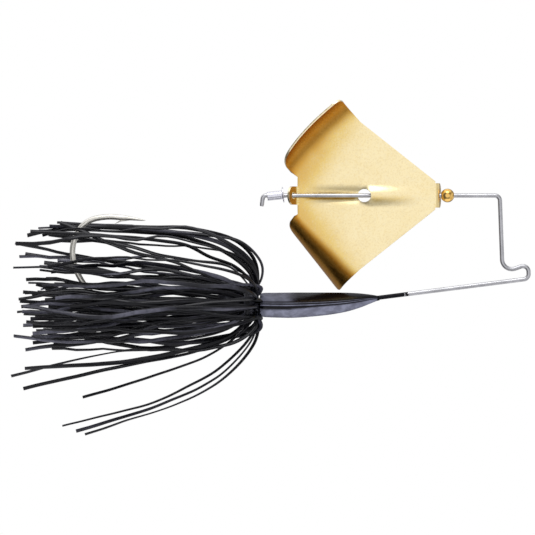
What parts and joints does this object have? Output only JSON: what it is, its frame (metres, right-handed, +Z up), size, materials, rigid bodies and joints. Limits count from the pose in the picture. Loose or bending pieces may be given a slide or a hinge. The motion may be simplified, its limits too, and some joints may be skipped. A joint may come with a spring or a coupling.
{
  "type": "buzzbait",
  "caption": "Buzzbait fishing lure: weighted hook with a rubber strand skirt, and a propeller blade that spins and slides on an overhead wire.",
  "frame": {"origin": "inside the line-tie bend of the wire form, where the fishing line is tied", "axes": "+X forward, the way the lure is pulled; +Z up, towards the overhead shaft; the wire form lies in the XZ plane"},
  "size_m": [0.1193, 0.0289, 0.0772],
  "materials": {
    "stainless_wire": "polished drawn wire",
    "nickel_hook": "satin nickel plate",
    "head_paint": "gloss black paint over lead",
    "gold_sheet": "satin gold with a fine sparkle",
    "gold_bead": "polished",
    "rivet_metal": "bright",
    "skirt_rubber": "satin black rubber",
    "band_rubber": "matt black rubber"
  },
  "bodies": {
    "lure": {"wire_form": "stainless_wire", "hook": "nickel_hook", "head": "head_paint", "skirt_band": "band_rubber", "skirt_strand_01": "skirt_rubber", "skirt_strand_02": "skirt_rubber", "skirt_strand_03": "skirt_rubber", "skirt_strand_04": "skirt_rubber", "skirt_strand_05": "skirt_rubber", "skirt_strand_06": "skirt_rubber", "skirt_strand_07": "skirt_rubber", "skirt_strand_08": "skirt_rubber", "skirt_strand_09": "skirt_rubber", "skirt_strand_10": "skirt_rubber", "skirt_strand_11": "skirt_rubber", "skirt_strand_12": "skirt_rubber", "skirt_strand_13": "skirt_rubber", "skirt_strand_14": "skirt_rubber", "skirt_strand_15": "skirt_rubber", "skirt_strand_16": "skirt_rubber", "skirt_strand_17": "skirt_rubber", "skirt_strand_18": "skirt_rubber", "skirt_strand_19": "skirt_rubber", "skirt_strand_20": "skirt_rubber", "skirt_strand_21": "skirt_rubber", "skirt_strand_22": "skirt_rubber", "skirt_strand_23": "skirt_rubber", "skirt_strand_24": "skirt_rubber", "skirt_strand_25": "skirt_rubber", "skirt_strand_26": "skirt_rubber", "skirt_strand_27": "skirt_rubber", "skirt_strand_28": "skirt_rubber", "skirt_strand_29": "skirt_rubber", "skirt_strand_30": "skirt_rubber", "skirt_strand_31": "skirt_rubber", "skirt_strand_32": "skirt_rubber", "skirt_strand_33": "skirt_rubber", "skirt_strand_34": "skirt_rubber", "skirt_strand_35": "skirt_rubber", "skirt_strand_36": "skirt_rubber", "skirt_strand_37": "skirt_rubber", "skirt_strand_38": "skirt_rubber", "skirt_strand_39": "skirt_rubber", "skirt_strand_40": "skirt_rubber", "skirt_strand_41": "skirt_rubber", "skirt_strand_42": "skirt_rubber", "skirt_strand_43": "skirt_rubber"},
    "rivet": {"rivet": "rivet_metal"},
    "blade": {"blade": "gold_sheet"},
    "bead": {"bead": "gold_bead"}
  },
  "joints": [
    {"name": "stack_slide", "type": "slide", "parent": "lure", "child": "rivet", "axis": [1, 0, 0], "range_m": [0, 0.009]},
    {"name": "blade_spin", "type": "hinge", "parent": "rivet", "child": "blade", "pos_m": [-0.03644, 0, 0.0179], "axis": [1, 0, 0], "continuous": true},
    {"name": "bead_spin", "type": "hinge", "parent": "rivet", "child": "bead", "pos_m": [-0.0171, 0, 0.0179], "axis": [1, 0, 0], "continuous": true}
  ]
}
